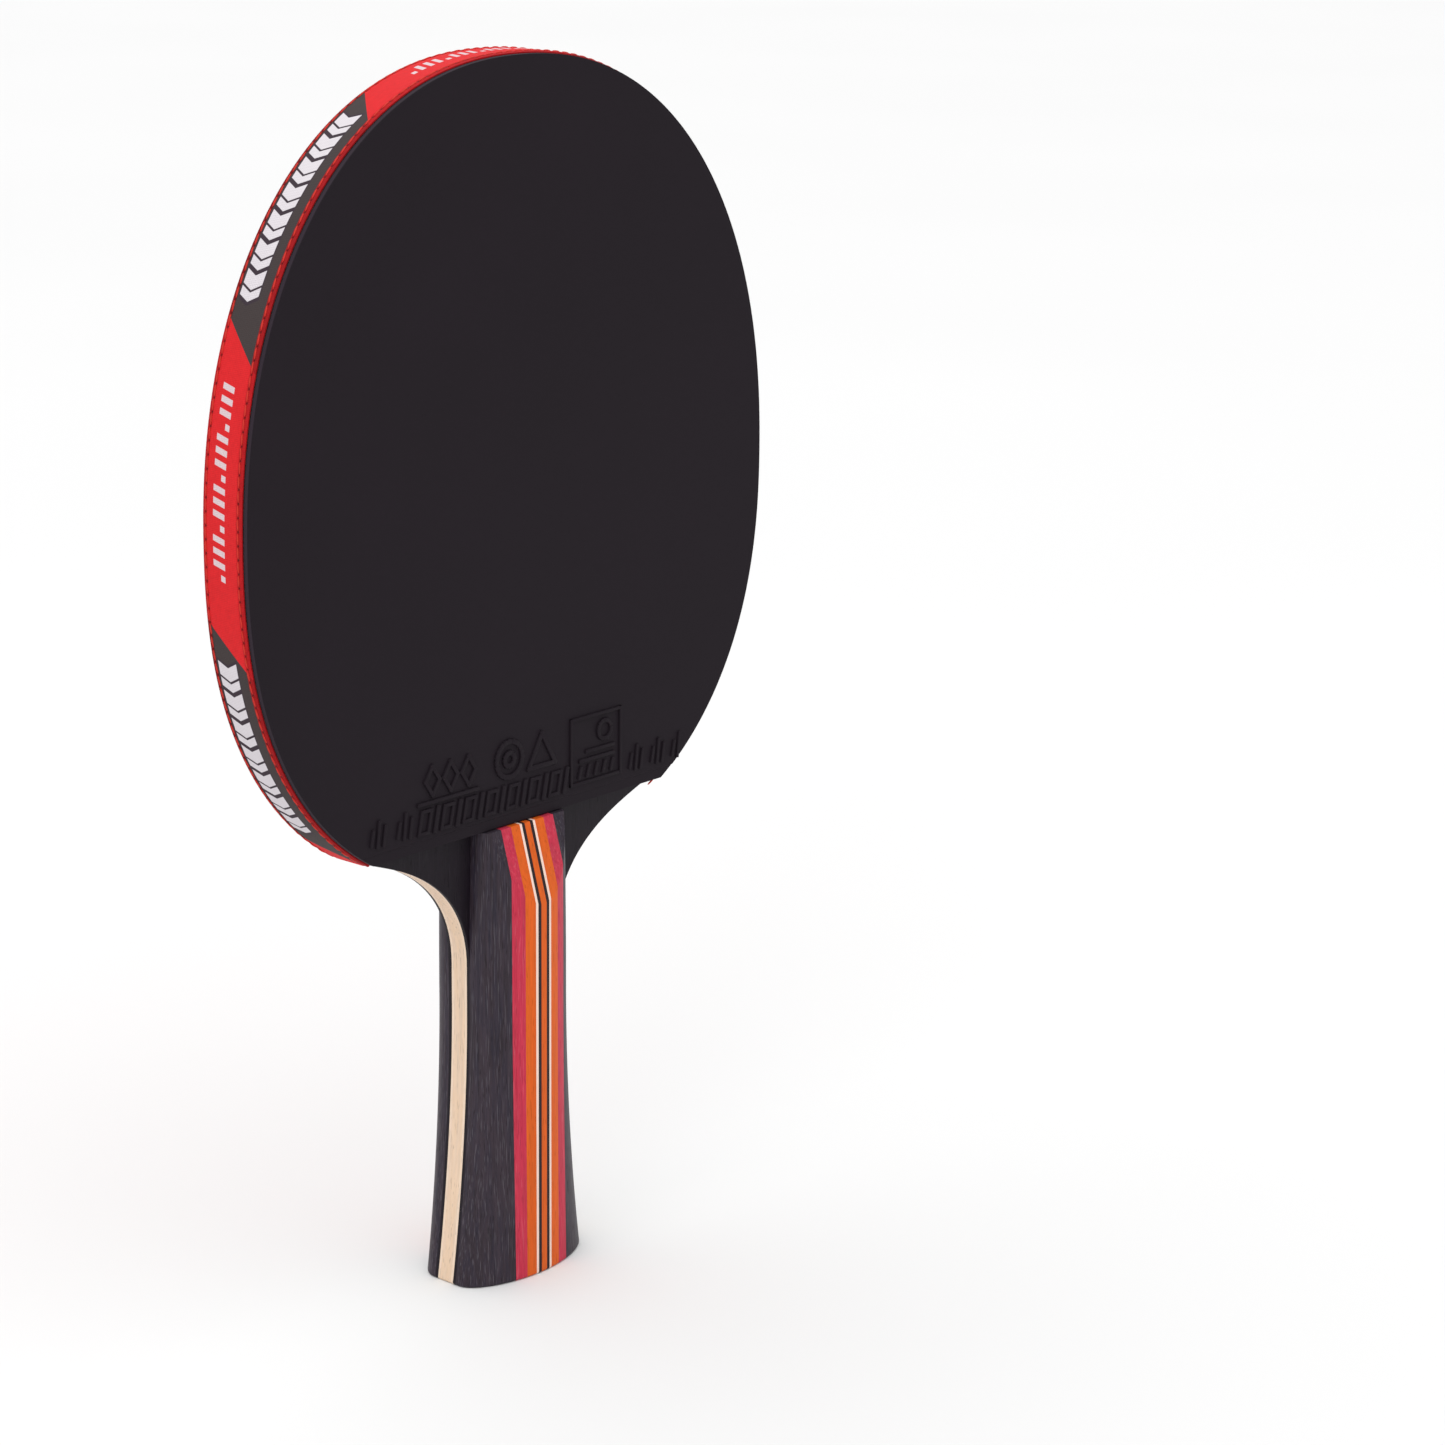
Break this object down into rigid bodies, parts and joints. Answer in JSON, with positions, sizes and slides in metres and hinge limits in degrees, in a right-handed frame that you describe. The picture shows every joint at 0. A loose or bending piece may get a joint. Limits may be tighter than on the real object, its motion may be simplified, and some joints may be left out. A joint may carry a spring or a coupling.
{
  "type": "table tennis paddle",
  "caption": "Shakehand table tennis paddle: plywood blade, black and red pimples-in rubbers on sponge, printed woven edge tape and a flared handle laminated from dyed strips.",
  "frame": {"origin": "middle of the handle's flat end, which the paddle stands on", "axes": "+Z along the handle towards the head, -Y out of the black front face, +X to the right when the front is seen"},
  "size_m": [0.1514, 0.024, 0.2582],
  "materials": {
    "pale_wood": "sanded bare",
    "inner_wood": "sanded bare",
    "dyed_wood": "dyed and sealed",
    "grey_wood": "dyed, satin sealed",
    "crimson_wood": "dyed, satin sealed",
    "orange_wood": "dyed, satin sealed",
    "white_wood": "bleached, satin sealed",
    "black_wood": "dyed, satin sealed",
    "black_rubber": "matt, slightly tacky",
    "red_rubber": "matt, slightly tacky",
    "sponge": "open-cell sponge",
    "edge_tape": "printed woven ribbon",
    "thread": "twisted polyester thread"
  },
  "bodies": {
    "root": {"core_ply": "pale_wood", "edge_tape": "edge_tape", "front_inner_ply": "inner_wood", "front_face_ply": "dyed_wood", "front_sponge": "sponge", "front_topsheet": "black_rubber", "front_tape_stitching": "thread", "front_centre_strip": "orange_wood", "front_left_black_line": "black_wood", "front_left_white_line": "white_wood", "front_left_orange_strip": "orange_wood", "front_left_crimson_strip": "crimson_wood", "front_left_grey_side": "grey_wood", "front_right_black_line": "black_wood", "front_right_white_line": "white_wood", "front_right_orange_strip": "orange_wood", "front_right_crimson_strip": "crimson_wood", "front_right_grey_side": "grey_wood", "back_inner_ply": "inner_wood", "back_face_ply": "dyed_wood", "back_sponge": "sponge", "back_topsheet": "red_rubber", "back_tape_stitching": "thread", "back_centre_strip": "orange_wood", "back_left_black_line": "black_wood", "back_left_white_line": "white_wood", "back_left_orange_strip": "orange_wood", "back_left_crimson_strip": "crimson_wood", "back_left_grey_side": "grey_wood", "back_right_black_line": "black_wood", "back_right_white_line": "white_wood", "back_right_orange_strip": "orange_wood", "back_right_crimson_strip": "crimson_wood", "back_right_grey_side": "grey_wood"}
  },
  "joints": []
}
